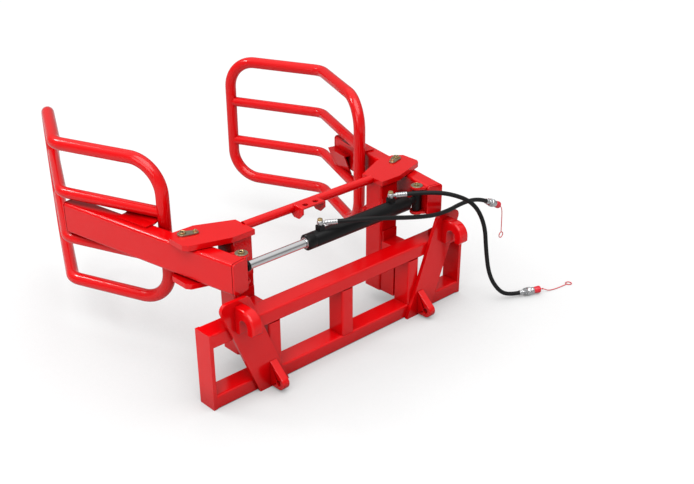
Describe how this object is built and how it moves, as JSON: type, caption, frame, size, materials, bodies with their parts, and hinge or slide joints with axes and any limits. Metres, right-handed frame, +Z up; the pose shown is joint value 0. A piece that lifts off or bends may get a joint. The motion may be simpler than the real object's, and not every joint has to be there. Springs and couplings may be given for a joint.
{
  "type": "tractor front loader bale grab",
  "caption": "Round bale grab for a tractor front loader: hook-on hitch frame, two swinging arms with bent tube grab frames, and a cross cylinder with hoses.",
  "frame": {"origin": "middle of the line through the two hook pockets, where the loader's hitch bar lies", "axes": "+X along the hitch bar to the right as the driver sees it, +Y forward from the tractor to the bale, +Z up"},
  "size_m": [1.6956, 1.5782, 0.7664],
  "materials": {
    "red_paint": "gloss powder coat",
    "black_paint": "satin",
    "rod_chrome": "hard chrome, polished",
    "yellow_zinc": "yellow zinc plate",
    "bright_zinc": "bright zinc plate",
    "hose_rubber": "satin",
    "red_plastic": "satin"
  },
  "bodies": {
    "hitch_frame": {"bottom_rail": "red_paint", "top_rail": "red_paint", "centre_post": "red_paint", "crossbar": "red_paint", "crossbar_bracket": "red_paint", "right_end_plate": "red_paint", "left_end_plate": "red_paint", "right_post": "red_paint", "left_post": "red_paint", "right_hook_plate": "red_paint", "left_hook_plate": "red_paint", "right_hook": "red_paint", "left_hook": "red_paint", "right_lug": "red_paint", "left_lug": "red_paint", "right_upright": "red_paint", "left_upright": "red_paint", "right_upright_bracket": "red_paint", "left_upright_bracket": "red_paint", "right_top_pivot_plate": "red_paint", "left_top_pivot_plate": "red_paint", "right_bottom_pivot_plate": "red_paint", "left_bottom_pivot_plate": "red_paint", "right_pivot_pin": "yellow_zinc", "left_pivot_pin": "yellow_zinc", "right_pin_lock": "yellow_zinc", "left_pin_lock": "yellow_zinc"},
    "right_arm": {"right_arm_tube": "red_paint", "right_arm_rear_cap": "red_paint", "right_arm_front_cap": "red_paint", "right_cylinder_ears": "red_paint", "right_cylinder_pin": "yellow_zinc", "right_grab_loop": "red_paint", "right_upper_rung": "red_paint", "right_lower_rung": "red_paint", "right_saddles": "red_paint"},
    "left_arm": {"left_arm_tube": "red_paint", "left_arm_rear_cap": "red_paint", "left_arm_front_cap": "red_paint", "left_cylinder_ears": "red_paint", "left_cylinder_pin": "yellow_zinc", "left_grab_loop": "red_paint", "left_upper_rung": "red_paint", "left_lower_rung": "red_paint", "left_saddles": "red_paint"},
    "barrel_body": {"barrel": "black_paint", "gland": "black_paint", "base_eye": "black_paint", "banjo_1": "bright_zinc", "banjo_2": "bright_zinc", "hose_1": "hose_rubber", "hose_2": "hose_rubber", "coupler_1": "bright_zinc", "coupler_2": "bright_zinc", "dust_cap_1": "red_plastic", "dust_cap_2": "red_plastic"},
    "rod_body": {"piston_rod": "rod_chrome", "rod_eye": "black_paint"}
  },
  "joints": [
    {"name": "right_arm_swing", "type": "hinge", "parent": "hitch_frame", "child": "right_arm", "pos_m": [0.5179, 0.334, 0.134], "axis": [0, 0, 1], "range_deg": [-15, 20]},
    {"name": "left_arm_swing", "type": "hinge", "parent": "hitch_frame", "child": "left_arm", "pos_m": [-0.5179, 0.334, 0.134], "axis": [0, 0, 1], "range_deg": [-20, 15]},
    {"name": "barrel_pivot", "type": "hinge", "parent": "right_arm", "child": "barrel_body", "pos_m": [0.42503, 0.13002, 0.134], "axis": [0, 0, 1], "range_deg": [-20, 15]},
    {"name": "rod_pivot", "type": "hinge", "parent": "left_arm", "child": "rod_body", "pos_m": [-0.42503, 0.13002, 0.134], "axis": [0, 0, 1], "range_deg": [-15, 20]}
  ],
  "couplings": [
    {"joint": "left_arm_swing", "follows": "right_arm_swing", "ratio": -1},
    {"joint": "barrel_pivot", "follows": "right_arm_swing", "ratio": -1},
    {"joint": "rod_pivot", "follows": "right_arm_swing", "ratio": 1}
  ]
}
